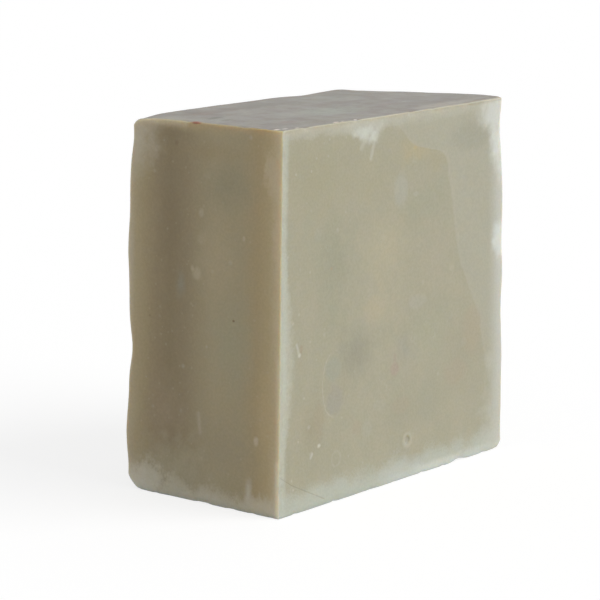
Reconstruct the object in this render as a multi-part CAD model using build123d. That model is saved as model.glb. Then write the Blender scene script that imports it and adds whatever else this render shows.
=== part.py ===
from build123d import *
import os
from itertools import permutations
from math import exp

# A bar of hand-made soap, cut from a loaf and left to cure: one solid block with no pieces.
# It stands on its foot. +X runs to the right along the broad cut face, +Y to the back, +Z up.
# The block narrows a little from foot to crown, and no side of it is quite flat.

# Overall form, in mm
height = 64.0
foot_width = 65.0
foot_depth = 33.8
crown_width = 62.6
crown_depth = 33.3

# Edges that the knife left crisp, with a thin bevel, in mm along each side of the edge
front_foot_bevel = 0.4
front_crown_bevel = 0.3
left_foot_bevel = 0.4
left_crown_bevel = 0.3
left_front_bevel = 0.35
left_back_bevel = 0.6
right_front_bevel = 0.7

# Edges that handling and drying have softened, in mm of radius
right_crown_round = 1.5
right_foot_round = 3.4
right_back_round = 1.5
back_crown_round = 2.5
back_foot_round = 4.6

# A pinhole left by an air bubble, low on the broad face. It narrows towards its bottom.
pit_from_left = 35.4
pit_height = 6.8
pit_mouth_radius = 0.75
pit_bottom_radius = 0.35
pit_depth = 0.55

# A flake lost from the left crown edge, beside the near corner
flake_length = 4.2
flake_drop = 0.7
flake_inset = 0.35

# Swells and hollows of each side. A row is one wave: its place along the side and up it, both as
# shares of the side and seen from outside, its rise out of the side, and its reach along and up, in mm.
front_waves = [
    (0.50, 0.52, -0.30, 18.0, 18.0),
    (0.62, 0.28, 0.14, 9.0, 7.0),
    (0.24, 0.34, 0.12, 6.0, 8.0),
    (0.82, 0.74, -0.16, 7.0, 9.0),
    (0.30, 0.80, 0.10, 9.0, 6.0),
]
back_waves = [
    (0.985, 0.155, 0.55, 5.0, 4.0),
    (0.985, 0.385, -0.75, 5.0, 3.6),
    (0.985, 0.65, 0.40, 5.0, 4.5),
    (0.985, 0.93, -0.45, 5.0, 4.0),
    (0.45, 0.50, -0.35, 18.0, 18.0),
    (0.30, 0.82, 0.20, 9.0, 7.0),
    (0.70, 0.22, 0.18, 8.0, 8.0),
]
left_waves = [
    (0.30, 0.50, -0.28, 4.5, 24.0),
    (0.62, 0.55, 0.16, 4.0, 18.0),
    (0.80, 0.20, -0.12, 5.0, 7.0),
    (0.00, 0.98, -0.60, 3.5, 3.5),
]
# The loaf's lining wrinkled here, so these run from front to back
right_waves = [
    (0.30, 0.05, -0.25, 16.0, 4.0),
    (0.30, 0.27, 0.35, 14.0, 4.0),
    (0.35, 0.40, -0.25, 14.0, 4.0),
    (0.30, 0.51, 0.55, 15.0, 3.8),
    (0.30, 0.72, 0.50, 14.0, 6.0),
    (0.25, 0.92, -0.90, 14.0, 4.0),
]
# The far back corner of the crown sagged while the soap was soft
crown_waves = [
    (0.16, 0.45, 0.15, 7.0, 7.0),
    (0.45, 0.35, -0.20, 9.0, 8.0),
    (0.70, 0.95, -0.25, 4.5, 7.0),
    (0.88, 0.97, 0.40, 4.0, 8.0),
    (1.00, 0.97, -0.90, 10.0, 11.0),
    (0.96, 0.10, 0.40, 8.0, 8.0),
    (0.00, 1.00, -0.60, 3.5, 6.0),
]

# How a side is drawn: its surface runs past the block's corners, on points this far apart, in mm
side_overrun = 6.0
point_spacing = 3.0
surface_tolerance = 0.001

# Waste left round the block before its sides are cut, in mm. It stays less than the sides' overrun.
waste = side_overrun / 2

# The bar is nearly all of each block that it is shared from, and at least this much of the smallest
least_shared = 0.8

LEFT, RIGHT = -1, 1
FRONT, BACK = -1, 1
FOOT, CROWN = 0, 1


def corner(x_side, y_side, level):
    """A corner of the plain block, before its sides wave and its edges round."""
    width = crown_width if level == CROWN else foot_width
    depth = crown_depth if level == CROWN else foot_depth
    return Vector(x_side * width / 2, y_side * depth / 2, level * height)


def wave_height(waves, along, up, length, rise):
    """How far a side stands out at one place, given in mm from its first corner."""
    total = 0.0
    for along_share, up_share, swell, along_reach, up_reach in waves:
        off_along = (along - along_share * length) / along_reach
        off_up = (up - up_share * rise) / up_reach
        total += swell * exp(-off_along * off_along - off_up * off_up)
    return total


def cut_for_side(corners, waves, outward):
    """Everything outside one side. The corners go round the side as seen from outside."""
    first, second, third, fourth = corners
    length = (second - first).length
    rise = (fourth - first).length
    normal = (second - first).cross(fourth - first).normalized()
    columns = round((length + 2 * side_overrun) / point_spacing)
    rows = round((rise + 2 * side_overrun) / point_spacing)
    points = []
    for row in range(rows + 1):
        up = -side_overrun + (rise + 2 * side_overrun) * row / rows
        line = []
        for column in range(columns + 1):
            along = -side_overrun + (length + 2 * side_overrun) * column / columns
            share_along = along / length
            share_up = up / rise
            low = first + (second - first) * share_along
            high = fourth + (third - fourth) * share_along
            flat_point = low + (high - low) * share_up
            line.append(flat_point + normal * wave_height(waves, along, up, length, rise))
        points.append(line)
    surface = Face.make_surface_from_array_of_points(points, tol=surface_tolerance, min_deg=3, max_deg=3)
    return Solid.extrude(surface, Vector(outward) * (side_overrun + 2 * waste))


def edge_between(solid, start, end):
    """The edge of the solid that runs nearest to the line between two corners."""
    middle = (start + end) * 0.5
    return min(solid.edges(), key=lambda edge: (edge.position_at(0.5) - middle).length)


def finished_block(side_cuts, bevelled_edges, rounded_edges):
    """The block cut by some of its sides, with the edges between them finished one by one."""
    block = Box(
        max(foot_width, crown_width) + 2 * waste,
        max(foot_depth, crown_depth) + 2 * waste,
        height + waste,
        align=(Align.CENTER, Align.CENTER, Align.MIN),
    )
    for side_cut in side_cuts:
        block = block - side_cut
    solid = max(block.solids(), key=lambda part: part.volume)
    for start, end, bevel in bevelled_edges:
        solid = solid.chamfer(bevel, None, [edge_between(solid, start, end)]).solids()[0]
    for start, end, radius in rounded_edges:
        solid = solid.fillet(radius, [edge_between(solid, start, end)]).solids()[0]
    return solid


def is_sound(shape, least_volume):
    """Whether a shape is one whole solid of at least this volume."""
    if shape is None:
        return False
    solids = shape.solids()
    return len(solids) == 1 and solids[0].is_valid and solids[0].volume > least_volume


def shared_solid(blocks):
    """What all the blocks have in common. That is the same bar in any order, and their shared faces can
    spoil one order, so each is tried until the bar comes out whole."""
    least_volume = least_shared * min(block.volume for block in blocks)
    for outer, middle, inner in permutations(blocks):
        pair = middle & inner
        if is_sound(pair, least_volume):
            shared = outer & pair
            if is_sound(shared, least_volume):
                return shared.solids()[0]
    raise ValueError("The blocks share no whole bar in any order")


# The sides, each as the waste that the knife or the mould takes away
front = cut_for_side(
    (corner(LEFT, FRONT, FOOT), corner(RIGHT, FRONT, FOOT), corner(RIGHT, FRONT, CROWN), corner(LEFT, FRONT, CROWN)),
    front_waves,
    (0, -1, 0),
)
back = cut_for_side(
    (corner(RIGHT, BACK, FOOT), corner(LEFT, BACK, FOOT), corner(LEFT, BACK, CROWN), corner(RIGHT, BACK, CROWN)),
    back_waves,
    (0, 1, 0),
)
left = cut_for_side(
    (corner(LEFT, BACK, FOOT), corner(LEFT, FRONT, FOOT), corner(LEFT, FRONT, CROWN), corner(LEFT, BACK, CROWN)),
    left_waves,
    (-1, 0, 0),
)
right = cut_for_side(
    (corner(RIGHT, FRONT, FOOT), corner(RIGHT, BACK, FOOT), corner(RIGHT, BACK, CROWN), corner(RIGHT, FRONT, CROWN)),
    right_waves,
    (1, 0, 0),
)
crown = cut_for_side(
    (corner(LEFT, FRONT, CROWN), corner(RIGHT, FRONT, CROWN), corner(RIGHT, BACK, CROWN), corner(LEFT, BACK, CROWN)),
    crown_waves,
    (0, 0, 1),
)

# Each block has only the edges that run one way, which never meet, so every edge keeps a size of its
# own. What the three blocks share is the bar, with its edges mitred at the corners.
upright_block = finished_block(
    [front, back, left, right],
    [
        (corner(LEFT, FRONT, FOOT), corner(LEFT, FRONT, CROWN), left_front_bevel),
        (corner(LEFT, BACK, FOOT), corner(LEFT, BACK, CROWN), left_back_bevel),
        (corner(RIGHT, FRONT, FOOT), corner(RIGHT, FRONT, CROWN), right_front_bevel),
    ],
    [(corner(RIGHT, BACK, FOOT), corner(RIGHT, BACK, CROWN), right_back_round)],
)
across_block = finished_block(
    [front, back, crown],
    [
        (corner(LEFT, FRONT, FOOT), corner(RIGHT, FRONT, FOOT), front_foot_bevel),
        (corner(LEFT, FRONT, CROWN), corner(RIGHT, FRONT, CROWN), front_crown_bevel),
    ],
    [
        (corner(LEFT, BACK, FOOT), corner(RIGHT, BACK, FOOT), back_foot_round),
        (corner(LEFT, BACK, CROWN), corner(RIGHT, BACK, CROWN), back_crown_round),
    ],
)
deep_block = finished_block(
    [left, right, crown],
    [
        (corner(LEFT, FRONT, FOOT), corner(LEFT, BACK, FOOT), left_foot_bevel),
        (corner(LEFT, FRONT, CROWN), corner(LEFT, BACK, CROWN), left_crown_bevel),
    ],
    [
        (corner(RIGHT, FRONT, FOOT), corner(RIGHT, BACK, FOOT), right_foot_round),
        (corner(RIGHT, FRONT, CROWN), corner(RIGHT, BACK, CROWN), right_crown_round),
    ],
)
bar = shared_solid([upright_block, across_block, deep_block])

# The pinhole, sunk from the broad face as it really lies there. Its cone runs as far out as in.
near_foot = corner(LEFT, FRONT, FOOT)
near_crown = corner(LEFT, FRONT, CROWN)
plain_face = near_foot.Y + (near_crown.Y - near_foot.Y) * pit_height / height
swell_at_pit = wave_height(front_waves, pit_from_left, pit_height, foot_width, height)
pit = Cone(pit_bottom_radius, 2 * pit_mouth_radius - pit_bottom_radius, 2 * pit_depth)
bar -= Pos(pit_from_left - foot_width / 2, plain_face - swell_at_pit, pit_height) * Rot(90, 0, 0) * pit

# The flake, cut on a slope from the end face to the crown
flake_slope = Plane.XZ * Polyline(
    (near_crown.X - waste, height - flake_drop - waste * flake_drop / flake_inset),
    (near_crown.X + flake_inset + waste, height + waste * flake_drop / flake_inset),
    (near_crown.X - waste, height + waste * flake_drop / flake_inset),
    close=True,
)
flake = extrude(make_face(flake_slope), amount=flake_length + waste, dir=(0, 1, 0))
bar -= Pos(0, near_crown.Y - waste, 0) * flake

# The origin is under the middle of the finished bar, on the plane that it stands on
extent = bar.bounding_box()
bar = Pos(-(extent.min.X + extent.max.X) / 2, -(extent.min.Y + extent.max.Y) / 2, 0) * bar

os.makedirs("parts", exist_ok=True)
export_step(bar.solids()[0], "parts/soap_bar.step")
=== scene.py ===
from math import cos, radians, sin

import bpy
import numpy as np
from mathutils import Matrix, Vector, noise
from mathutils.bvhtree import BVHTree


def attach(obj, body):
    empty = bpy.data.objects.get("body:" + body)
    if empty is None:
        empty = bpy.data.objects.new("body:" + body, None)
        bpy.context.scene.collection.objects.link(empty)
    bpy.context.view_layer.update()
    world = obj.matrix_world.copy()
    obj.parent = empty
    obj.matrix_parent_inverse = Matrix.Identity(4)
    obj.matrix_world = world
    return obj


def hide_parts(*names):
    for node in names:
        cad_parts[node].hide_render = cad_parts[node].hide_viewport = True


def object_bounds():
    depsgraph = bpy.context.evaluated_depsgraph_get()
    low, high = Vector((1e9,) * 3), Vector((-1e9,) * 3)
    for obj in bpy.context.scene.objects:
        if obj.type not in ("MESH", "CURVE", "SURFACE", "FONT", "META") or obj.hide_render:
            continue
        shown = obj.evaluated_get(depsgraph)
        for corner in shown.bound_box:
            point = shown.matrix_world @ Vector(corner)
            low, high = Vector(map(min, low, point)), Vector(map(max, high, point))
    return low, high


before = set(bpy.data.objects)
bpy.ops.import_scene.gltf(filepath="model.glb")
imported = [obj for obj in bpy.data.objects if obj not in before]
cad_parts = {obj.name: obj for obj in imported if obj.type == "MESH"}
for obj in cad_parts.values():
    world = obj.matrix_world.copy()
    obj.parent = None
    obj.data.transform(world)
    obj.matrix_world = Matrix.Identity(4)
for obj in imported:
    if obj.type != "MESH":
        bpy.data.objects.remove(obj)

cad_low, cad_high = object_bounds()

# The camera
# The bar is seen from its near left corner and a little above its crown, through a long lens.
# The camera is aimed by the plain block that the bar was cut as, before its sides wave.
foot_width = 0.0650
foot_depth = 0.0338
crown_width = 0.0626
crown_depth = 0.0333
block_height = 0.0640
block_middle = Vector((cad_low.x + foot_width / 2, cad_low.y + foot_depth / 2, 0))

view_azimuth = radians(-51.43)
view_elevation = radians(10.78)
view_roll = radians(0.21)
view_distance = 0.465
slide_right = -0.00369
slide_up = -0.00207
lens_length = 159.5
sensor_width = 36

to_camera = Vector((
    sin(view_azimuth) * cos(view_elevation),
    -cos(view_azimuth) * cos(view_elevation),
    sin(view_elevation),
))
level_right = Vector((cos(view_azimuth), sin(view_azimuth), 0))
level_up = to_camera.cross(level_right)
camera_right = level_right * cos(view_roll) + level_up * sin(view_roll)
camera_up = level_up * cos(view_roll) - level_right * sin(view_roll)
camera_place = block_middle + Vector((0, 0, block_height / 2))
camera_place += to_camera * view_distance + camera_right * slide_right + camera_up * slide_up

camera_data = bpy.data.cameras.new("camera")
camera_data.lens = lens_length
camera_data.sensor_width = sensor_width
camera_data.clip_start = 0.01
camera = bpy.data.objects.new("camera", camera_data)
bpy.context.scene.collection.objects.link(camera)
camera_turn = Matrix((camera_right, camera_up, to_camera)).transposed().to_4x4()
camera.matrix_world = Matrix.Translation(camera_place) @ camera_turn
bpy.context.scene.camera = camera
bpy.context.scene.view_settings.view_transform = "Standard"

# The bar of soap
# One block of hand-made soap, knife-cut from a loaf and cured for some weeks. The knife left the near
# faces smooth and their edges crisp, the loaf's lining wrinkled the far end, and white ash has bloomed
# on the skin. The skin is a net of fine squares laid on the solid bar.
squares_wide = 150
squares_deep = 80
squares_high = 148
edge_density = 3.0
edge_density_reach = 0.0016
pit_across = 0.0354
pit_up = 0.0068
pit_density = 2.6
pit_density_reach = 0.0014
fine_places = 4001


def net_lines(length, squares, dense_place=None):
    """Places of the net's lines along one way of the block, closer at both ends and at the pinhole."""
    fine = np.linspace(0, length, fine_places)
    density = 1 + edge_density * np.exp(-fine / edge_density_reach)
    density += edge_density * np.exp(-(length - fine) / edge_density_reach)
    if dense_place is not None:
        density += pit_density * np.exp(-((fine - dense_place) / pit_density_reach) ** 2)
    total = np.concatenate(([0], np.cumsum((density[1:] + density[:-1]) / 2)))
    return np.interp(np.linspace(0, total[-1], squares + 1), total, fine) / length


share_across = net_lines(foot_width, squares_wide, pit_across)
share_deep = net_lines(foot_depth, squares_deep)
share_up = net_lines(block_height, squares_high, pit_up)

# The net has points only on the block's outside
counts = (squares_wide + 1, squares_deep + 1, squares_high + 1)
outside = np.zeros(counts, bool)
outside[[0, -1], :, :] = True
outside[:, [0, -1], :] = True
outside[:, :, [0, -1]] = True
number = np.full(counts, -1)
number[outside] = np.arange(outside.sum())
place_across, place_deep, place_up = np.nonzero(outside)
across = share_across[place_across]
deep = share_deep[place_deep]
up = share_up[place_up]
block_points = np.stack((
    block_middle.x + (across - 0.5) * (foot_width + (crown_width - foot_width) * up),
    block_middle.y + (deep - 0.5) * (foot_depth + (crown_depth - foot_depth) * up),
    block_height * up,
), 1)


def side_squares(side, turned):
    """The squares of one side, from its points' numbers, facing outwards."""
    ring = (side[:-1, :-1], side[1:, :-1], side[1:, 1:], side[:-1, 1:])
    if turned:
        ring = ring[::-1]
    return np.stack([corner.ravel() for corner in ring], 1)


squares = np.concatenate((
    side_squares(number[:, :, 0], True),
    side_squares(number[:, :, -1], False),
    side_squares(number[:, 0, :], False),
    side_squares(number[:, -1, :], True),
    side_squares(number[0, :, :], True),
    side_squares(number[-1, :, :], False),
))

solid_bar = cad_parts["soap_bar"].data
solid_surface = BVHTree.FromPolygons(
    [vertex.co for vertex in solid_bar.vertices],
    [tuple(polygon.vertices) for polygon in solid_bar.polygons],
)
skin_points = np.array([solid_surface.find_nearest(Vector(point))[0] for point in block_points])

skin = bpy.data.meshes.new("soap_bar_skin")
skin.from_pydata(skin_points.tolist(), [], squares.tolist())
skin.update()


def outward_ways():
    """The outward direction at each point of the skin."""
    ways = np.zeros(len(skin.vertices) * 3, np.float32)
    skin.vertex_normals.foreach_get("vector", ways)
    return ways.reshape(-1, 3).astype(float)


def raise_skin(points, height):
    """Move each point of the skin outwards by its own height, and keep the foot on the floor."""
    raised = points + outward_ways() * height[:, None]
    raised[:, 2] = np.maximum(raised[:, 2], 0)
    skin.vertices.foreach_set("co", raised.astype(np.float32).ravel())
    skin.update()
    return raised


# The solid's flat facets are smoothed away
smoothing_rounds = 4
smoothing_share = 0.5
sides_of_squares = np.concatenate([squares[:, [side, (side + 1) % 4]] for side in range(4)])
neighbours = np.bincount(sides_of_squares.ravel(), minlength=len(skin_points))
for _ in range(smoothing_rounds):
    neighbour_sum = np.zeros_like(skin_points)
    np.add.at(neighbour_sum, sides_of_squares[:, 0], skin_points[sides_of_squares[:, 1]])
    np.add.at(neighbour_sum, sides_of_squares[:, 1], skin_points[sides_of_squares[:, 0]])
    pull = neighbour_sum / neighbours[:, None] - skin_points
    skin_points = raise_skin(skin_points, smoothing_share * (pull * outward_ways()).sum(1))

# The waxy skin is never quite flat: low swells, finer ripples, and a fine grain
swell_layers = [(0.0070, 0.000050), (0.0026, 0.000022), (0.0010, 0.000008)]


def uneven(point, layers):
    """The height of layers of noise, each with its own spacing and height."""
    return sum(rise * noise.noise(Vector(point) / spacing) for spacing, rise in layers)


height = np.array([uneven(point, swell_layers) for point in skin_points])

# The pinhole's rim stands a little proud, and a bubble under the skin has left an oval dent
pit_rim_radius = 0.0012
pit_rim_width = 0.0005
pit_rim_height = 0.00005
oval_across = 0.0145
oval_up = 0.0203
oval_reach_across = 0.0032
oval_reach_up = 0.0056
oval_depth = 0.00006
oval_rim = 1.15
oval_slope = 0.3
from_left = across * foot_width
from_front = deep * foot_depth
from_foot = up * block_height
from_crown = block_height - from_foot
on_broad_side = place_deep == 0
from_pit = np.hypot(from_left - pit_across, from_foot - pit_up)
height += on_broad_side * pit_rim_height * np.exp(-((from_pit - pit_rim_radius) / pit_rim_width) ** 2)
from_oval = np.hypot((from_left - oval_across) / oval_reach_across, (from_foot - oval_up) / oval_reach_up)
height -= on_broad_side * oval_depth * np.clip((oval_rim - from_oval) / oval_slope, 0, 1)

# The near edges are crisper than the smoothing leaves them, and a little crumbled
crisp_reach = 0.00026
crisp_rise = 0.00018
round_corner_reach = 0.006
crumb_spacing = 0.0021
crumb_start = 0.12
crumb_depth = 0.00042
crumb_reach = 0.0006
crisp_edges = [
    (from_left, from_front), (from_front, from_crown), (from_left, from_crown),
    (from_front, from_foot), (from_left, from_foot),
]
from_crisp_edge = np.full(len(skin_points), 1.0)
for from_one_side, from_other_side in crisp_edges:
    from_crisp_edge = np.minimum(from_crisp_edge, np.hypot(from_one_side, from_other_side))
from_round_corner = np.minimum(foot_width - from_left, foot_depth - from_front)
from_round_corner = np.clip(from_round_corner / round_corner_reach, 0, 1)
height += crisp_rise * from_round_corner * np.exp(-(from_crisp_edge / crisp_reach) ** 2)
crumbs = np.array([noise.noise(Vector(point) / crumb_spacing) for point in skin_points])
crumbled = crumb_depth * np.exp(-(from_crisp_edge / crumb_reach) ** 2)
height -= crumbled * np.clip(crumbs - crumb_start, 0, 1)

# A longer bruise in the foot's front edge, towards the right
bruise_across = 0.0512
bruise_reach = 0.0018
bruise_depth = 0.00040
bruise = np.exp(-((from_left - bruise_across) / bruise_reach) ** 2)
bruise *= np.exp(-(from_front ** 2 + from_foot ** 2) / (2 * crumb_reach) ** 2)
height -= bruise_depth * bruise
skin_points = raise_skin(skin_points, height)
skin.shade_smooth()

bar = bpy.data.objects.new("soap_bar_worn", skin)
bpy.context.scene.collection.objects.link(bar)


# The bar's finish: waxy, and light goes a little way in. Its colour is uneven from the mixing, with
# painted light and shade in places.
def paint(red, green, blue):
    """A colour given as it looks, from 0 to 255, in the light's own scale."""
    linear = []
    for value in (red, green, blue):
        share = value / 255
        linear.append(share / 12.92 if share <= 0.04045 else ((share + 0.055) / 1.055) ** 2.4)
    return (*linear, 1)


def add_node(tree, kind, sockets=(), **settings):
    """A node with its settings. Its sockets are fed with values or with other nodes' outputs."""
    node = tree.nodes.new(kind)
    for name, value in settings.items():
        setattr(node, name, value)
    for name, value in dict(sockets).items():
        if isinstance(value, bpy.types.NodeSocket):
            tree.links.new(value, node.inputs[name])
        else:
            node.inputs[name].default_value = value
    return node


def reckon(tree, operation, *values):
    """A sum with one, two or three numbers."""
    return add_node(tree, "ShaderNodeMath", enumerate(values), operation=operation).outputs[0]


def reckon_place(tree, operation, *values, output="Vector"):
    """A sum with places."""
    return add_node(tree, "ShaderNodeVectorMath", enumerate(values), operation=operation).outputs[output]


def soft_step(tree, value, start, end):
    """From 0 where a value is at its start, smoothly to 1 where it reaches its end."""
    sockets = {"Value": value, "From Min": start, "From Max": end}
    return add_node(tree, "ShaderNodeMapRange", sockets, interpolation_type="SMOOTHSTEP").outputs["Result"]


def open_group(name, inputs):
    """A new node group with named inputs and one mask as its output."""
    tree = bpy.data.node_groups.new(name, "ShaderNodeTree")
    for socket, value in inputs.items():
        kind = "NodeSocketFloat" if isinstance(value, float) else "NodeSocketVector"
        tree.interface.new_socket(socket, in_out="INPUT", socket_type=kind).default_value = value
    tree.interface.new_socket("Mask", in_out="OUTPUT", socket_type="NodeSocketFloat")
    return tree, tree.nodes.new("NodeGroupInput").outputs, tree.nodes.new("NodeGroupOutput").inputs


# A soft oval patch, whose outline noise can make ragged
patch_group, given, made = open_group("Soft patch", {
    "Place": (0, 0, 0), "Centre": (0, 0, 0), "Reach": (1, 1, 1),
    "Core": 0.15, "Ragged": 0.0, "Strength": 1.0,
})
off = reckon_place(patch_group, "SUBTRACT", given["Place"], given["Centre"])
off = reckon_place(patch_group, "DIVIDE", off, given["Reach"])
off = reckon_place(patch_group, "LENGTH", off, output="Value")
off = reckon(patch_group, "ADD", off, given["Ragged"])
patch = soft_step(patch_group, off, 1.0, given["Core"])
patch_group.links.new(reckon(patch_group, "MULTIPLY", patch, given["Strength"]), made["Mask"])

# A straight mark between two places, such as a scratch or a nick
stroke_group, given, made = open_group("Stroke", {
    "Place": (0, 0, 0), "Start": (0, 0, 0), "End": (1, 0, 0), "Width": 0.2, "Strength": 1.0,
})
run = reckon_place(stroke_group, "SUBTRACT", given["End"], given["Start"])
away = reckon_place(stroke_group, "SUBTRACT", given["Place"], given["Start"])
along = reckon(
    stroke_group, "DIVIDE",
    reckon_place(stroke_group, "DOT_PRODUCT", away, run, output="Value"),
    reckon_place(stroke_group, "DOT_PRODUCT", run, run, output="Value"),
)
along = add_node(stroke_group, "ShaderNodeClamp", {"Value": along}).outputs[0]
nearest = add_node(stroke_group, "ShaderNodeVectorMath", {
    0: run, "Scale": along,
}, operation="SCALE").outputs[0]
off = reckon_place(stroke_group, "DISTANCE", away, nearest, output="Value")
stroke = soft_step(stroke_group, off, given["Width"], 0.0)
stroke_group.links.new(reckon(stroke_group, "MULTIPLY", stroke, given["Strength"]), made["Mask"])

# The thin line round an oval
ring_group, given, made = open_group("Ring", {
    "Place": (0, 0, 0), "Centre": (0, 0, 0), "Reach": (1, 1, 1),
    "Line": 0.05, "Ragged": 0.0, "Strength": 1.0,
})
off = reckon_place(ring_group, "SUBTRACT", given["Place"], given["Centre"])
off = reckon_place(ring_group, "DIVIDE", off, given["Reach"])
off = reckon_place(ring_group, "LENGTH", off, output="Value")
off = reckon(ring_group, "ADD", off, given["Ragged"])
off = reckon(ring_group, "ABSOLUTE", reckon(ring_group, "SUBTRACT", off, 1.0))
line = soft_step(ring_group, off, given["Line"], 0.0)
ring_group.links.new(reckon(ring_group, "MULTIPLY", line, given["Strength"]), made["Mask"])

# Scattered specks, of which only a share shows
speck_group, given, made = open_group("Specks", {
    "Place": (0, 0, 0), "Spacing": 1.0, "Size": 0.2, "Share": 0.3, "Strength": 1.0,
})
cells = add_node(speck_group, "ShaderNodeTexVoronoi", {
    "Vector": given["Place"], "Scale": reckon(speck_group, "DIVIDE", 1.0, given["Spacing"]),
}).outputs
chance = add_node(speck_group, "ShaderNodeSeparateColor", {"Color": cells["Color"]}).outputs
smallest_share = 0.4
least_size = reckon(speck_group, "MULTIPLY", given["Size"], smallest_share)
size = reckon(speck_group, "MULTIPLY_ADD", chance["Green"], given["Size"], least_size)
speck = soft_step(speck_group, cells["Distance"], size, 0.0)
shows = reckon(speck_group, "LESS_THAN", chance["Red"], given["Share"])
speck = reckon(speck_group, "MULTIPLY", speck, shows)
speck_group.links.new(reckon(speck_group, "MULTIPLY", speck, given["Strength"]), made["Mask"])

# White ash, which thickens as Spread goes from 0 to 1 and breaks up into feathers and grains
ash_group, given, made = open_group("Ash bloom", {
    "Place": (0, 0, 0), "Spread": 0.5, "Feather": 1.6, "Grain": 0.30, "Strength": 1.0,
})
feathers = add_node(ash_group, "ShaderNodeTexNoise", {
    "Vector": given["Place"], "Scale": reckon(ash_group, "DIVIDE", 1.0, given["Feather"]), "Detail": 4.0,
}).outputs[0]
grains = add_node(ash_group, "ShaderNodeTexNoise", {
    "Vector": given["Place"], "Scale": reckon(ash_group, "DIVIDE", 1.0, given["Grain"]), "Detail": 2.0,
}).outputs[0]
feather_share = 1.3
grain_share = 0.7
bloom_start = 0.15
bloom_full = 0.95
feathers = reckon(ash_group, "SUBTRACT", feathers, 0.5)
bloom = reckon(ash_group, "MULTIPLY_ADD", feathers, feather_share, given["Spread"])
grains = reckon(ash_group, "SUBTRACT", grains, 0.5)
bloom = reckon(ash_group, "MULTIPLY_ADD", grains, grain_share, bloom)
bloom = soft_step(ash_group, bloom, bloom_start, bloom_full)
ash_group.links.new(reckon(ash_group, "MULTIPLY", bloom, given["Strength"]), made["Mask"])

soap = bpy.data.materials.new("cured_soap")
soap.use_nodes = True
soap_tree = soap.node_tree
soap_tree.nodes.clear()

# Places on the skin are in mm from the near foot corner: along the broad face, back through the bar,
# and up. They are straightened, as if the block didn't narrow towards its crown.
millimetres = 1000.0
wide = foot_width * millimetres
thick = foot_depth * millimetres
tall = block_height * millimetres
object_ways = add_node(soap_tree, "ShaderNodeTexCoord").outputs
from_middle = reckon_place(soap_tree, "SUBTRACT", object_ways["Object"], tuple(block_middle))
from_middle = reckon_place(soap_tree, "MULTIPLY", from_middle, (millimetres,) * 3)
raw = add_node(soap_tree, "ShaderNodeSeparateXYZ", {0: from_middle}).outputs
narrow_wide = reckon(soap_tree, "MULTIPLY_ADD", raw["Z"], (crown_width / foot_width - 1) / tall, 1.0)
narrow_thick = reckon(soap_tree, "MULTIPLY_ADD", raw["Z"], (crown_depth / foot_depth - 1) / tall, 1.0)
straight_across = reckon(soap_tree, "ADD", reckon(soap_tree, "DIVIDE", raw["X"], narrow_wide), wide / 2)
straight_deep = reckon(soap_tree, "ADD", reckon(soap_tree, "DIVIDE", raw["Y"], narrow_thick), thick / 2)
straight_up = raw["Z"]
here = add_node(soap_tree, "ShaderNodeCombineXYZ", {
    "X": straight_across, "Y": straight_deep, "Z": straight_up,
}).outputs[0]
facing = add_node(soap_tree, "ShaderNodeSeparateXYZ", {0: object_ways["Normal"]}).outputs
side_starts = -0.50
side_full = -0.90
crown_starts = 0.45
crown_full = 0.85
on_broad_face = soft_step(soap_tree, facing["Y"], side_starts, side_full)
on_left_end = soft_step(soap_tree, facing["X"], side_starts, side_full)
on_crown = soft_step(soap_tree, facing["Z"], crown_starts, crown_full)


def use_group(group, **sockets):
    """The mask of one group placed in the soap."""
    node = add_node(soap_tree, "ShaderNodeGroup", node_tree=group)
    soap_tree.links.new(here, node.inputs["Place"])
    for name, value in sockets.items():
        socket = node.inputs[name.capitalize()]
        if isinstance(value, bpy.types.NodeSocket):
            soap_tree.links.new(value, socket)
        else:
            socket.default_value = value
    return node.outputs["Mask"]


def cloud(spacing, low, high, detail=3.0, shift=0.0):
    """Cloudy noise with features a given spacing in mm apart, from 0 under one level to 1 over another."""
    moved = reckon_place(soap_tree, "ADD", here, (shift,) * 3)
    cloudy = add_node(soap_tree, "ShaderNodeTexNoise", {
        "Vector": moved, "Scale": 1 / spacing, "Detail": detail,
    })
    return soft_step(soap_tree, cloudy.outputs[0], low, high)


def lay_on(colour, tint, mask, *more_masks):
    """A tint laid on a colour, as strongly as the masks say together."""
    for more in more_masks:
        mask = reckon(soap_tree, "MULTIPLY", mask, more)
    return add_node(soap_tree, "ShaderNodeMix", {0: mask, 6: colour, 7: tint}, data_type="RGBA").outputs[2]


# Noise that makes the patches' outlines ragged, weakly or strongly
ragged = add_node(soap_tree, "ShaderNodeTexNoise", {
    "Vector": here, "Scale": 0.45, "Detail": 5.0,
}).outputs[0]
ragged = reckon(soap_tree, "SUBTRACT", ragged, 0.5)
slightly_ragged = reckon(soap_tree, "MULTIPLY", ragged, 0.9)
very_ragged = reckon(soap_tree, "MULTIPLY", ragged, 2.2)

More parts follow.
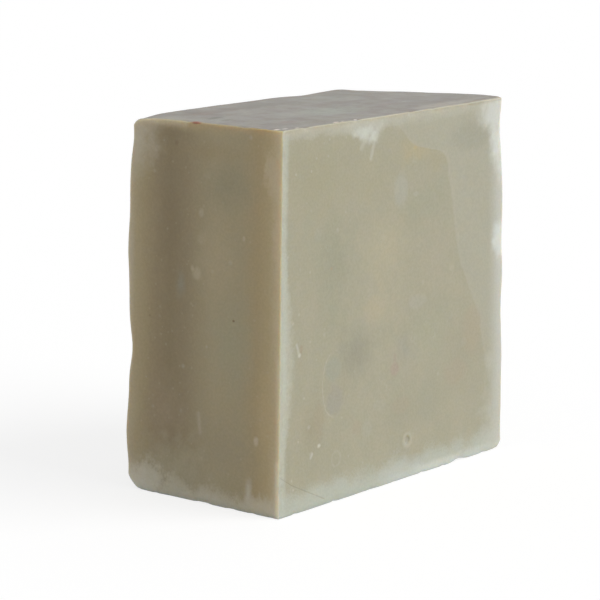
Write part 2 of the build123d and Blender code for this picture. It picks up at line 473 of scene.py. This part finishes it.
# The broad face is fawn soap with amber, green and grey clouds, where oils and clay mixed unevenly.
# A row is one cloud: its centre and its reach, across and up in mm, its strength and its tint.
fawn = paint(171, 167, 145)
colour = lay_on(fawn, paint(174, 169, 147), cloud(6.0, 0.40, 0.65))
broad_clouds = [
    ((9, 55), (14, 10), 0.8, (169, 164, 138)),
    ((24, 54), (11, 6), 0.5, (171, 165, 139)),
    ((37.5, 57.3), (8, 3.6), 0.9, (180, 171, 141)),
    ((44, 55), (5, 2.6), 0.8, (172, 165, 139)),
    ((40, 48), (11, 5), 0.9, (167, 165, 143)),
    ((29, 41), (10, 10), 1.0, (180, 173, 148)),
    ((28, 31.5), (6, 5), 0.9, (180, 173, 148)),
    ((43, 38), (10, 8), 0.6, (176, 170, 149)),
    ((14, 41), (7, 10), 0.95, (163, 161, 139)),
    ((14, 32), (6, 6), 0.7, (164, 162, 139)),
    ((20.5, 24.5), (7, 6.5), 0.95, (158, 155, 136)),
    ((9, 14), (4.5, 6), 0.8, (166, 159, 135)),
    ((35, 23), (4.5, 4), 0.8, (165, 162, 146)),
    ((42, 24), (8, 7), 0.6, (171, 170, 147)),
    ((52, 20), (9, 9), 0.8, (168, 163, 141)),
    ((34, 12), (7, 4), 0.6, (166, 162, 141)),
    ((24, 52), (4, 3), 0.4, (173, 167, 140)),
]
for centre, reach, strength, tint in broad_clouds:
    mask = use_group(
        patch_group, centre=(centre[0], 0, centre[1]), reach=(reach[0], 3, reach[1]),
        core=0.0, ragged=slightly_ragged, strength=strength,
    )
    colour = lay_on(colour, paint(*tint), mask)

# Farther right the skin dried into a greyer film, whose edge is a curved line. A pair is a place on it,
# up from the foot and across, in mm.
film_wander = 0.8
film_line_half_width = 0.8
film_line_strength = 0.45
film_edge = [
    (0, 60), (14, 59.5), (20.7, 58.6), (26.7, 56.9), (32.7, 53.6), (38.7, 50.9), (46.7, 49.4),
    (52, 47.9), (55.7, 46.6), (57.3, 41.0), (58.3, 37.3), (61.3, 33.4), (64, 30),
]
edge_curve = add_node(soap_tree, "ShaderNodeFloatCurve", {
    "Value": reckon(soap_tree, "DIVIDE", straight_up, tall),
})
curve_points = edge_curve.mapping.curves[0].points
for edge_up, edge_across in film_edge[1:-1]:
    curve_points.new(edge_up / tall, edge_across / wide)
curve_points[0].location = (0, film_edge[0][1] / wide)
curve_points[-1].location = (1, film_edge[-1][1] / wide)
edge_curve.mapping.update()
edge_there = reckon(soap_tree, "MULTIPLY", edge_curve.outputs[0], wide)
past_edge = reckon(soap_tree, "SUBTRACT", straight_across, edge_there)
past_edge = reckon(soap_tree, "MULTIPLY_ADD", ragged, film_wander, past_edge)
over_foot = soft_step(soap_tree, straight_up, 12.0, 24.0)
on_film = reckon(soap_tree, "MULTIPLY", soft_step(soap_tree, past_edge, -0.7, 0.9), over_foot)
colour = lay_on(colour, paint(176, 173, 154), on_film, on_broad_face)
film_line = soft_step(soap_tree, reckon(soap_tree, "ABSOLUTE", past_edge), film_line_half_width, 0.0)
film_line = reckon(soap_tree, "MULTIPLY", film_line, film_line_strength)
colour = lay_on(colour, paint(183, 180, 163), film_line, over_foot, on_broad_face)

# Marks on the broad face: bubbles under the skin, a smudge, a pink spot and pale spots
broad_marks = [
    ((54, 58), (8.0, 3.2), 0.55, (164, 162, 145)),
    ((33.2, 50.7), (2.6, 3.6), 0.95, (176, 174, 157)),
    ((37.7, 49.7), (1.1, 0.6), 0.6, (180, 178, 160)),
    ((38.5, 30.8), (3.4, 1.7), 0.7, (176, 173, 156)),
    ((24, 28.5), (2.6, 2.2), 0.3, (172, 168, 150)),
    ((14.3, 22.9), (2.8, 2.6), 0.7, (164, 165, 149)),
    ((14.7, 17.5), (2.9, 3.4), 0.8, (166, 162, 147)),
    ((31.8, 19.9), (1.6, 1.6), 0.8, (173, 159, 143)),
    ((31.9, 21.6), (0.7, 1.4), 0.5, (172, 159, 143)),
    ((50, 16.5), (4.5, 3.0), 0.7, (173, 164, 142)),
    ((55, 23.5), (3.6, 5.5), 0.7, (174, 165, 142)),
    ((33.5, 13.3), (3.6, 1.8), 0.7, (172, 164, 142)),
    ((10.4, 14.6), (1.6, 4.5), 0.6, (170, 161, 138)),
    ((21, 11.6), (1.8, 1.6), 0.6, (172, 163, 141)),
    ((26, 31), (4.0, 3.0), 0.4, (181, 172, 147)),
    ((42, 13), (4.0, 5.0), 0.5, (165, 163, 142)),
    ((24, 11), (2.0, 1.9), 0.5, (175, 172, 154)),
    ((27.5, 14.5), (2.6, 1.3), 0.35, (175, 173, 155)),
    ((52.5, 21.5), (1.2, 1.0), 0.4, (174, 170, 150)),
    ((48.8, 35.3), (1.0, 0.7), 0.4, (181, 176, 158)),
    ((23.5, 35.5), (3.0, 3.0), 0.35, (174, 169, 150)),
    ((9.7, 46.0), (1.2, 1.6), 0.35, (172, 171, 154)),
    ((13.6, 39.9), (0.45, 0.35), 0.6, (172, 154, 126)),
    ((37.2, 57.7), (0.7, 0.4), 0.6, (190, 176, 135)),
    ((5.5, 27.6), (0.5, 1.0), 0.5, (168, 150, 130)),
]
barely_ragged = reckon(soap_tree, "MULTIPLY", ragged, 0.4)
for centre, reach, strength, tint in broad_marks:
    mask = use_group(
        patch_group, centre=(centre[0], 0, centre[1]), reach=(reach[0], 2, reach[1]),
        core=0.5, ragged=barely_ragged, strength=strength,
    )
    colour = lay_on(colour, paint(*tint), mask)

# A thin pale line runs round the oval dent, clearest on its left, and a small ring sits near the foot
oval_ragged = reckon(soap_tree, "MULTIPLY", ragged, 0.25)
oval_line = use_group(
    ring_group, centre=(oval_across * millimetres, 0, oval_up * millimetres),
    reach=(oval_reach_across * millimetres, 4, oval_reach_up * millimetres),
    line=0.055, ragged=oval_ragged, strength=0.7,
)
oval_left_side = soft_step(soap_tree, straight_across, 15.5, 12.5)
oval_line_side = reckon(soap_tree, "MULTIPLY_ADD", oval_left_side, 0.75, 0.25)
oval_line = reckon(soap_tree, "MULTIPLY", oval_line, oval_line_side)
oval_line = reckon(soap_tree, "MULTIPLY", oval_line, cloud(1.6, 0.30, 0.55, shift=11.0))
colour = lay_on(colour, paint(184, 179, 161), oval_line)
small_ring = use_group(ring_group, centre=(15.2, 0, 7.4), reach=(1.2, 3, 1.3), line=0.3, strength=0.35)
colour = lay_on(colour, paint(184, 181, 164), small_ring)

# The left end lies in shade, and its colour is painted in bands from front to back: painted amber glow at
# both margins where light comes through, a painted sheen across the middle, and painted shade in a dark
# core.
# A band's first number is its share of the way from the front edge to the back.
end_glow_and_shade_bands = [
    (0.000, (204, 199, 172)), (0.035, (202, 189, 155)), (0.080, (192, 176, 138)), (0.15, (184, 167, 131)),
    (0.26, (180, 168, 137)), (0.42, (182, 170, 139)), (0.53, (173, 160, 130)), (0.62, (163, 149, 120)),
    (0.72, (157, 143, 113)), (0.80, (165, 150, 120)), (0.87, (176, 161, 128)), (0.94, (188, 174, 140)),
    (1.000, (200, 190, 164)),
]
rippled = reckon(soap_tree, "MULTIPLY_ADD", ragged, 1.2, straight_deep)
glow_and_shade_ramp = add_node(soap_tree, "ShaderNodeValToRGB", {0: reckon(soap_tree, "DIVIDE", rippled, thick)})
glow_and_shade_stops = glow_and_shade_ramp.color_ramp.elements
for share, tint in end_glow_and_shade_bands[1:-1]:
    glow_and_shade_stops.new(share)
for stop, (share, tint) in zip(glow_and_shade_stops, end_glow_and_shade_bands):
    stop.position = share
    stop.color = paint(*tint)
end_colour_and_painted_light = glow_and_shade_ramp.outputs[0]
# Clouds on the left end. The warm band along its top edge and the amber patch near its front edge are
# painted glow where light comes through.
end_clouds_and_glow = [
    ((10.5, 28), (7, 12), 0.8, (178, 171, 143)),
    ((13.5, 41), (6, 9), 0.9, (187, 174, 143)),
    ((11.5, 54), (8, 6), 0.9, (169, 160, 132)),
    ((13, 10), (12, 8), 0.7, (174, 163, 136)),
    ((25.5, 14.5), (6, 9), 0.8, (171, 155, 128)),
    ((2.6, 17), (3.6, 11), 0.6, (199, 180, 140)),
    ((21.8, 36.8), (1.7, 3.6), 0.8, (160, 154, 134)),
    ((24.2, 46), (3.6, 12), 0.6, (153, 138, 109)),
    ((16, 59.3), (12, 2.6), 0.5, (172, 156, 122)),
    ((17, 63.3), (17, 1.6), 0.8, (188, 174, 138)),
    ((23, 4), (15, 8.5), 0.8, (188, 180, 153)),
]
for centre, reach, strength, tint in end_clouds_and_glow:
    mask = use_group(
        patch_group, centre=(0, *centre), reach=(3, *reach),
        core=0.0, ragged=slightly_ragged, strength=strength,
    )
    end_colour_and_painted_light = lay_on(end_colour_and_painted_light, paint(*tint), mask)
end_marks = [
    ((18.1, 38.9), (1.4, 1.5), 0.7, (196, 186, 158)),
    ((19.2, 39.6), (0.6, 0.7), 0.6, (198, 188, 160)),
    ((14.6, 39.6), (0.6, 0.6), 0.5, (196, 187, 160)),
    ((17.3, 44.5), (1.3, 1.0), 0.35, (190, 181, 152)),
    ((17.2, 49.1), (0.9, 1.2), 0.6, (190, 183, 158)),
    ((16.0, 55.3), (1.1, 0.8), 0.35, (188, 178, 150)),
    ((5.1, 12.4), (0.75, 1.1), 0.8, (208, 197, 172)),
    ((8.0, 45.7), (0.4, 0.6), 0.6, (200, 190, 165)),
    ((9.95, 31.9), (0.38, 0.30), 0.8, (128, 103, 74)),
    ((28.6, 30.5), (0.35, 0.3), 0.3, (128, 110, 84)),
    ((22.9, 60.2), (0.6, 0.7), 0.5, (142, 124, 98)),
]
for centre, reach, strength, tint in end_marks:
    mask = use_group(
        patch_group, centre=(0, *centre), reach=(2, *reach),
        core=0.3, ragged=slightly_ragged, strength=strength,
    )
    end_colour_and_painted_light = lay_on(end_colour_and_painted_light, paint(*tint), mask)
end_scratch = use_group(stroke_group, start=(0, 17.5, 15.2), end=(0, 17.1, 12.2), width=0.75, strength=0.5)
end_colour_and_painted_light = lay_on(end_colour_and_painted_light, paint(196, 188, 166), end_scratch)
colour = lay_on(colour, end_colour_and_painted_light, on_left_end)

# The crown is painted a greyer mauve than the broad face
crown_colour = lay_on(paint(143, 139, 129), paint(137, 131, 123), cloud(4.0, 0.40, 0.62, shift=20.0))
# Clouds on the crown. The paler, cooler patch of the first row is a painted reflection.
crown_clouds_and_reflection = [
    ((28, 12), (11, 7), 0.9, (149, 151, 139)),
    ((12, 26), (12, 5), 0.8, (125, 116, 104)),
    ((28, 26), (12, 5), 0.8, (131, 128, 119)),
    ((45, 25), (12, 6), 0.8, (136, 135, 124)),
    ((50, 10), (12, 7), 0.6, (141, 137, 131)),
    ((20, 4), (14, 3), 0.6, (142, 137, 122)),
    ((50, 2), (14, 3), 0.8, (169, 163, 152)),
    ((3, 18), (3, 5), 0.5, (150, 149, 138)),
    ((0.5, 27), (3.6, 10), 0.9, (148, 145, 128)),
    ((6.3, 19.6), (2.6, 1.4), 0.9, (112, 111, 100)),
    ((5.0, 16.0), (1.8, 1.0), 0.9, (116, 115, 103)),
    ((34, 23), (5, 2.6), 0.6, (128, 126, 115)),
    ((10, 6.6), (3.4, 2.2), 0.7, (146, 131, 122)),
    ((43, 10), (3.5, 2), 0.6, (147, 134, 126)),
    ((10, 25), (3.5, 2), 0.6, (139, 122, 112)),
]
for centre, reach, strength, tint in crown_clouds_and_reflection:
    mask = use_group(
        patch_group, centre=(*centre, tall), reach=(*reach, 3),
        core=0.1, ragged=slightly_ragged, strength=strength,
    )
    crown_colour = lay_on(crown_colour, paint(*tint), mask)
streak_place = reckon_place(soap_tree, "MULTIPLY", here, (0.35, 1.1, 0.3))
streaks = add_node(soap_tree, "ShaderNodeTexNoise", {
    "Vector": streak_place, "Scale": 1.0, "Detail": 4.0,
}).outputs[0]
streaks = reckon(soap_tree, "MULTIPLY", soft_step(soap_tree, streaks, 0.56, 0.72), 0.55)
crown_colour = lay_on(crown_colour, paint(128, 120, 112), streaks)
colour = lay_on(colour, crown_colour, on_crown)

# Ash along the broad face's sides: wide and grainy low on the left, a soft belt at the foot, a white rim
# at the right that is partly ash and partly painted glow, blobs at the right, and a splash at the top
low_on_left = use_group(patch_group, centre=(0, 0, 26), reach=(10, 3, 19), core=0.2)
left_reach = reckon(soap_tree, "MULTIPLY_ADD", low_on_left, 4.6, 2.6)
left_spread = soft_step(soap_tree, straight_across, left_reach, 0.2)
left_ash = use_group(ash_group, spread=left_spread, feather=1.2, grain=0.28, strength=0.75)
colour = lay_on(colour, paint(194, 194, 179), left_ash, left_spread, on_broad_face)
foot_spread = soft_step(soap_tree, straight_up, 6.8, 0.5)
foot_ash = use_group(ash_group, spread=foot_spread, feather=5.0, grain=0.35, strength=0.8)
colour = lay_on(colour, paint(186, 190, 178), foot_ash, on_broad_face)
foot_rim = soft_step(soap_tree, straight_up, 2.6, 0.2)
right_half = soft_step(soap_tree, straight_across, 24.0, 34.0)
foot_rim_ash = use_group(ash_group, spread=foot_rim, feather=4.5, grain=0.5, strength=0.65)
colour = lay_on(colour, paint(205, 207, 196), foot_rim_ash, right_half, on_broad_face)
# The pale rim at the right is partly ash and partly a painted glow
right_rim_ash_and_glow = soft_step(soap_tree, straight_across, wide - 5.5, wide - 0.6)
right_rim_ash_and_glow = reckon(soap_tree, "MULTIPLY", right_rim_ash_and_glow, 0.85)
colour = lay_on(colour, paint(200, 201, 192), right_rim_ash_and_glow, on_broad_face)
top_spread = soft_step(soap_tree, straight_up, tall - 3.2, tall - 0.6)
top_ash = use_group(ash_group, spread=top_spread, feather=3.0, grain=0.35, strength=0.65)
colour = lay_on(colour, paint(187, 186, 170), top_ash, on_broad_face)
soft_ash = [
    ((64.0, 38.7), (3.8, 4.4), 0.95, (215, 218, 210)),
    ((64.8, 56.8), (5.4, 8.8), 1.0, (215, 218, 210)),
    ((62.5, 61.5), (7.5, 4.2), 0.9, (210, 212, 204)),
    ((60.6, 16.7), (2.2, 2.4), 0.5, (193, 192, 178)),
    ((65.5, 4.5), (10.0, 14.0), 0.6, (193, 193, 180)),
    ((45.0, 0.2), (13.0, 1.9), 0.65, (206, 208, 198)),
    ((33.5, 1.5), (9.0, 3.2), 0.55, (192, 194, 185)),
    ((22.5, 63.0), (11.0, 2.0), 0.7, (189, 189, 175)),
    ((24.0, 61.4), (4.6, 2.4), 0.5, (194, 195, 182)),
]
for centre, reach, strength, tint in soft_ash:
    mask = use_group(
        patch_group, centre=(centre[0], 0, centre[1]), reach=(reach[0], 2.5, reach[1]),
        core=0.3, ragged=slightly_ragged, strength=strength,
    )
    colour = lay_on(colour, paint(*tint), mask, on_broad_face)
splashed_ash = [
    ((22.3, 61.8), (4.4, 1.5), 0.8, (205, 208, 197)),
    ((25.0, 61.0), (1.8, 1.9), 0.9, (206, 208, 196)),
    ((5.0, 26.6), (0.55, 0.5), 0.8, (205, 204, 191)),
    ((10.5, 10.5), (0.6, 0.5), 0.75, (212, 212, 198)),
    ((8.5, 9.2), (0.6, 0.7), 0.4, (196, 196, 182)),
]
for centre, reach, strength, tint in splashed_ash:
    mask = use_group(
        patch_group, centre=(centre[0], 0, centre[1]), reach=(reach[0], 2.5, reach[1]),
        core=0.1, ragged=very_ragged, strength=strength,
    )
    colour = lay_on(colour, paint(*tint), mask, on_broad_face)
splash_runs = [
    ((25.6, 60.8), (24.3, 57.2), 0.7, 0.5), ((22.8, 61.0), (21.6, 59.2), 0.9, 0.4),
    ((20.6, 61.6), (19.2, 61.9), 0.8, 0.4), ((26.2, 61.6), (27.4, 62.8), 0.9, 0.5),
    ((4.3, 28.5), (4.8, 27.0), 0.45, 0.6), ((8.7, 9.4), (8.3, 8.8), 0.40, 0.6),
    ((23.9, 62.4), (22.9, 60.2), 0.5, 0.4), ((21.8, 62.2), (21.2, 60.6), 0.5, 0.35),
]
for start, end, width, strength in splash_runs:
    mask = use_group(
        stroke_group, start=(start[0], 0, start[1]), end=(end[0], 0, end[1]),
        width=width, strength=strength,
    )
    colour = lay_on(colour, paint(198, 199, 186), mask, on_broad_face)

# Ash on the left end: feathers at the foot, a frosted top back corner, and dust near the front edge and
# along the foot
end_foot_spread = soft_step(soap_tree, straight_up, 5.0, 0.0)
end_foot_ash = use_group(ash_group, spread=end_foot_spread, feather=1.2, grain=0.30, strength=0.7)
colour = lay_on(colour, paint(222, 217, 199), end_foot_ash, end_foot_spread, on_left_end)
end_ash = [
    ((33.0, 61.0), (8.5, 9.5), 0.75, (208, 202, 184)),
    ((33.8, 40.0), (2.0, 34.0), 0.5, (206, 200, 184)),
    ((32.5, 1.0), (5.5, 6.0), 0.8, (224, 221, 206)),
    ((12.5, 0.3), (5.0, 2.0), 0.5, (210, 205, 188)),
    ((6.6, 3.2), (1.3, 3.6), 0.75, (216, 210, 193)),
]
for centre, reach, strength, tint in end_ash:
    mask = use_group(
        patch_group, centre=(0, *centre), reach=(2.5, *reach),
        core=0.0, ragged=slightly_ragged, strength=strength,
    )
    colour = lay_on(colour, paint(*tint), mask, on_left_end)
end_dust = [
    ((1.8, 56.5), (3.6, 6.5), 0.7, (208, 194, 164)),
    ((0.8, 46.5), (2.0, 8.5), 0.6, (210, 196, 166)),
    ((28.5, 2.0), (6.5, 6.5), 0.65, (223, 218, 201)),
    ((22.5, 1.5), (5.5, 4.5), 0.55, (212, 206, 186)),
    ((15.0, 1.0), (5.0, 4.0), 0.6, (212, 206, 188)),
    ((3.5, 1.5), (5.0, 3.4), 0.7, (212, 204, 182)),
]
for centre, reach, strength, tint in end_dust:
    spread = use_group(
        patch_group, centre=(0, *centre), reach=(2.5, *reach), core=0.2, ragged=slightly_ragged,
    )
    mask = use_group(ash_group, spread=spread, feather=0.9, grain=0.35, strength=strength)
    colour = lay_on(colour, paint(*tint), mask, spread, on_left_end)

# The left end's top edge is frosted at the back, and ash comes round the near edge low down
end_top_line = use_group(stroke_group, start=(0, 7, tall), end=(0, 34, tall), width=0.5, strength=0.6)
colour = lay_on(colour, paint(176, 168, 148), end_top_line)
frosted_top = use_group(stroke_group, start=(0, 21, 63.7), end=(0, 33, 63.5), width=1.1, strength=0.5)
colour = lay_on(colour, paint(212, 207, 188), frosted_top, on_left_end)
near_corner_ash = use_group(stroke_group, start=(0, 0.2, 0), end=(0, 0.2, 9), width=1.2, strength=0.8)
colour = lay_on(colour, paint(222, 219, 203), near_corner_ash, on_left_end)
near_corner_dust = use_group(stroke_group, start=(0, 0.2, 10), end=(0, 0.2, 26), width=1.0, strength=0.4)
colour = lay_on(colour, paint(214, 210, 192), near_corner_dust, on_left_end)

# The near upright edge catches a broken pale line
upright_edge = use_group(stroke_group, start=(0.95, 0, 0), end=(0.95, 0, tall), width=1.1, strength=0.5)
broken = cloud(4.0, 0.25, 0.60, shift=50.0)
colour = lay_on(colour, paint(188, 193, 180), upright_edge, broken, on_broad_face)

# Tiny pale salt specks show everywhere
specks_left = soft_step(soap_tree, straight_across, 30.0, 4.0)
fine_specks = use_group(speck_group, spacing=1.5, size=0.20, share=0.5, strength=0.40)
colour = lay_on(colour, paint(206, 205, 192), fine_specks, specks_left, on_broad_face)
end_specks = use_group(speck_group, spacing=1.4, size=0.22, share=0.35, strength=0.28)
colour = lay_on(colour, paint(204, 195, 170), end_specks, on_left_end)
large_specks = use_group(speck_group, spacing=3.6, size=0.14, share=0.40, strength=0.30)
colour = lay_on(colour, paint(205, 203, 190), large_specks)

# A red fleck lies on the crown's left edge, and pale crumbs along its front edge carry painted glints
red_fleck = use_group(
    patch_group, centre=(0, 18.6, 63.9), reach=(1.5, 1.6, 0.38),
    core=0.3, ragged=slightly_ragged, strength=0.9,
)
colour = lay_on(colour, paint(150, 100, 86), red_fleck)
glints = [
    ((0.9, 2.0), 0.9), ((2.4, 1.5), 0.8), ((4.6, 0.6), 0.7),
    ((15.2, 0.7), 0.9), ((17.0, 0.6), 0.7), ((20.5, 0.5), 0.6),
]
for centre, radius in glints:
    mask = use_group(
        patch_group, centre=(*centre, tall), reach=(radius, radius * 0.6, 1.5),
        core=0.3, ragged=very_ragged,
    )
    colour = lay_on(colour, paint(226, 216, 206), mask, on_crown)

# The pinhole has a pale lip, and its inside is painted paler: painted light against the shade of the
# hollow
pit_middle = (pit_across * millimetres, 0, pit_up * millimetres)
pit_painted_light = use_group(patch_group, centre=pit_middle, reach=(0.9, 3, 0.9), core=0.3, strength=0.5)
colour = lay_on(colour, paint(186, 182, 163), pit_painted_light)
pit_lip = use_group(ring_group, centre=pit_middle, reach=(1.15, 3, 1.15), line=0.5, strength=0.5)
colour = lay_on(colour, paint(188, 185, 167), pit_lip)

# A knife's faint line crosses the near foot corner
knife_start = use_group(stroke_group, start=(-0.5, 0, 7.4), end=(3.2, 0, 5.1), width=0.16, strength=0.3)
knife_end = use_group(stroke_group, start=(3.2, 0, 5.1), end=(12.0, 0, 1.1), width=0.20, strength=0.35)
knife_line = reckon(soap_tree, "MAXIMUM", knife_start, knife_end)
colour = lay_on(colour, paint(146, 144, 128), knife_line, on_broad_face)

# The thin bevel at the near upright edge is painted pale in broken patches
near_edge = use_group(stroke_group, start=(0.3, 0, 2), end=(0.3, 0, 62), width=0.6, strength=0.35)
colour = lay_on(colour, paint(182, 184, 170), near_edge, cloud(5.0, 0.25, 0.60, shift=40.0))
# The foot's thin bevel is painted pale: painted light against the shade it gets from facing the floor
foot_bevel_painted_light = soft_step(soap_tree, facing["Z"], -0.15, -0.6)
foot_bevel_painted_light = reckon(soap_tree, "MULTIPLY", foot_bevel_painted_light, soft_step(soap_tree, straight_up, 1.5, 0.6))
colour = lay_on(colour, paint(203, 202, 189), foot_bevel_painted_light)
# The crown's front bevel is painted darker: painted shade against the light it catches from the window
crown_front_painted_shade = use_group(
    stroke_group, start=(1, 0, tall), end=(wide - 1, 0, tall), width=0.6, strength=0.5,
)
colour = lay_on(colour, paint(158, 153, 140), crown_front_painted_shade)

# The right end and its rounded edge are painted a cool grey: painted shade on the rim that catches the
# window's light
far_rim_painted_shade = soft_step(soap_tree, facing["X"], 0.35, 0.80)
far_rim_painted_shade = reckon(soap_tree, "MULTIPLY", far_rim_painted_shade, 0.6)
colour = lay_on(colour, paint(180, 182, 180), far_rim_painted_shade)

# A fine grain over everything
grain_strength = 0.035
fine_grain = cloud(0.45, 0.30, 0.70, detail=2.0, shift=5.0)
grain_grey = add_node(soap_tree, "ShaderNodeCombineColor", {
    "Red": fine_grain, "Green": fine_grain, "Blue": fine_grain,
}).outputs[0]
colour = add_node(soap_tree, "ShaderNodeMix", {
    0: grain_strength, 6: colour, 7: grain_grey,
}, data_type="RGBA", blend_type="OVERLAY").outputs[2]

# Ash is dull, and the bare wax has a slight shine
bare_roughness = 0.46
shine_swing = 0.10
ash_dulling = 0.25
ash_on_broad_face = reckon(soap_tree, "MAXIMUM", foot_ash, left_ash)
ash_on_broad_face = reckon(soap_tree, "MULTIPLY", ash_on_broad_face, on_broad_face)
ash_on_end = reckon(soap_tree, "MULTIPLY", end_foot_ash, on_left_end)
all_ash = reckon(soap_tree, "MAXIMUM", ash_on_broad_face, ash_on_end)
uneven_shine = cloud(4.0, 0.3, 0.7, shift=30.0)
roughness = reckon(soap_tree, "MULTIPLY_ADD", uneven_shine, shine_swing, bare_roughness)
roughness = reckon(soap_tree, "MULTIPLY_ADD", all_ash, ash_dulling, roughness)

# The skin's finest relief: a slightly orange-peeled wax, proud specks and ash, and a sunk knife line.
# Each height is a share of the relief's depth.
peel_height = 0.25
speck_height = 0.6
ash_height = 0.30
oval_line_height = 0.30
knife_line_height = -0.9
relief_depth = 0.00012
relief_strength = 0.6
peel = add_node(soap_tree, "ShaderNodeTexNoise", {"Vector": here, "Scale": 1.6, "Detail": 3.0}).outputs[0]
skin_height = reckon(soap_tree, "MULTIPLY", peel, peel_height)
skin_height = reckon(soap_tree, "MULTIPLY_ADD", fine_specks, speck_height, skin_height)
skin_height = reckon(soap_tree, "MULTIPLY_ADD", all_ash, ash_height, skin_height)
skin_height = reckon(soap_tree, "MULTIPLY_ADD", oval_line, oval_line_height, skin_height)
skin_height = reckon(soap_tree, "MULTIPLY_ADD", knife_line, knife_line_height, skin_height)
relief = add_node(soap_tree, "ShaderNodeBump", {
    "Height": skin_height, "Strength": relief_strength, "Distance": relief_depth,
})

wax = add_node(soap_tree, "ShaderNodeBsdfPrincipled", {
    "Base Color": colour,
    "Roughness": roughness,
    "Normal": relief.outputs[0],
    "IOR": 1.45,
    "Specular IOR Level": 0.4,
    "Subsurface Weight": 1.0,
    "Subsurface Radius": (1.0, 0.70, 0.42),
    "Subsurface Scale": 0.0024,
})
add_node(soap_tree, "ShaderNodeOutputMaterial", {"Surface": wax.outputs[0]})
skin.materials.append(soap)

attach(bar, "root")
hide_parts("soap_bar")

# The floor
# A plain white sheet that runs far past the view, and isn't part of the bar.
# It shows white to the camera and keeps the bar's shadow.
floor_half = 6.0
sheet_white = (0.8, 0.8, 0.8, 1)
sheet_grey = (0.30, 0.30, 0.30, 1)
sheet_glow_strength = 0.76
floor_corners = [
    (-floor_half, -floor_half, 0), (floor_half, -floor_half, 0),
    (floor_half, floor_half, 0), (-floor_half, floor_half, 0),
]
floor_mesh = bpy.data.meshes.new("floor")
floor_mesh.from_pydata(floor_corners, [], [(0, 1, 2, 3)])
floor = bpy.data.objects.new("floor", floor_mesh)
bpy.context.scene.collection.objects.link(floor)
white_sheet = bpy.data.materials.new("white_sheet")
white_sheet.use_nodes = True
sheet_tree = white_sheet.node_tree
sheet_tree.nodes.clear()
sheet_bounce = add_node(sheet_tree, "ShaderNodeBsdfDiffuse", {"Color": sheet_white}).outputs[0]
sheet_shade = add_node(sheet_tree, "ShaderNodeBsdfDiffuse", {"Color": sheet_grey}).outputs[0]
sheet_glow = add_node(sheet_tree, "ShaderNodeEmission", {"Strength": sheet_glow_strength}).outputs[0]
sheet_seen = add_node(sheet_tree, "ShaderNodeAddShader", {0: sheet_shade, 1: sheet_glow}).outputs[0]
sheet_rays = add_node(sheet_tree, "ShaderNodeLightPath").outputs
sheet_ray = reckon(sheet_tree, "MAXIMUM", sheet_rays["Is Camera Ray"], sheet_rays["Is Glossy Ray"])
sheet_ray = reckon(sheet_tree, "MAXIMUM", sheet_ray, sheet_rays["Is Transmission Ray"])
sheet_mix = add_node(sheet_tree, "ShaderNodeMixShader", {
    0: sheet_ray, 1: sheet_bounce, 2: sheet_seen,
}).outputs[0]
add_node(sheet_tree, "ShaderNodeOutputMaterial", {"Surface": sheet_mix})
floor_mesh.materials.append(white_sheet)

# The light
# A large soft window stands to the right of the view and lights the broad face.
# The white room gives the rest, so the left end lies in soft shade.
white = (1, 1, 1, 1)
room_strength = 0.46
seen_strength = 1.0
window_strength = 1.9
window_spread = radians(50)
room = bpy.data.worlds.new("room")
room.use_nodes = True
room_tree = room.node_tree
room_tree.nodes.clear()
room_rays = add_node(room_tree, "ShaderNodeLightPath").outputs
room_ray = reckon(room_tree, "MAXIMUM", room_rays["Is Camera Ray"], room_rays["Is Glossy Ray"])
room_ray = reckon(room_tree, "MAXIMUM", room_ray, room_rays["Is Transmission Ray"])
room_light = add_node(room_tree, "ShaderNodeBackground", {"Strength": room_strength, "Color": white})
room_seen = add_node(room_tree, "ShaderNodeBackground", {"Strength": seen_strength, "Color": white})
room_mix = add_node(room_tree, "ShaderNodeMixShader", {
    0: room_ray, 1: room_light.outputs[0], 2: room_seen.outputs[0],
}).outputs[0]
add_node(room_tree, "ShaderNodeOutputWorld", {"Surface": room_mix})
bpy.context.scene.world = room

window_light = bpy.data.lights.new("window", "SUN")
window_light.energy = window_strength
window_light.angle = window_spread
window = bpy.data.objects.new("window", window_light)
towards_window = Vector((0.35, -0.75, 0.56))
window.rotation_euler = towards_window.to_track_quat("Z", "Y").to_euler()
bpy.context.scene.collection.objects.link(window)
